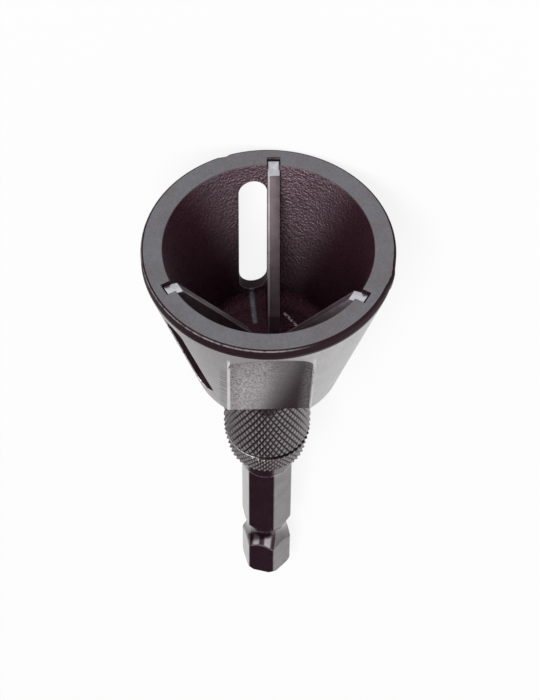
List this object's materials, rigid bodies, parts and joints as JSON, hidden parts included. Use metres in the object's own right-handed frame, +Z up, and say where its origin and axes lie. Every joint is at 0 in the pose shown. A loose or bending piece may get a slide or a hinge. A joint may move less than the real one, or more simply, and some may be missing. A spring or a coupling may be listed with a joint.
{
  "type": "external chamfering bit",
  "caption": "Hollow cone-shaped chamfering bit with inset blades and chip windows, a knurled hub and a quarter-inch hex shank.",
  "frame": {"origin": "on the surface that the bit lies on, below the middle of its box", "axes": "+X along the bit towards its mouth, +Z up; the bit's own axis rises 9.87 degrees towards the mouth"},
  "size_m": [0.0775, 0.032, 0.0317],
  "materials": {
    "black_steel": "black oxide over turned and milled steel",
    "ground_steel": "ground tool steel, bright on the end facets"
  },
  "bodies": {
    "root": {"head": "black_steel", "hex_shank": "black_steel", "blade_1": "ground_steel", "blade_2": "ground_steel", "blade_3": "ground_steel"}
  },
  "joints": []
}
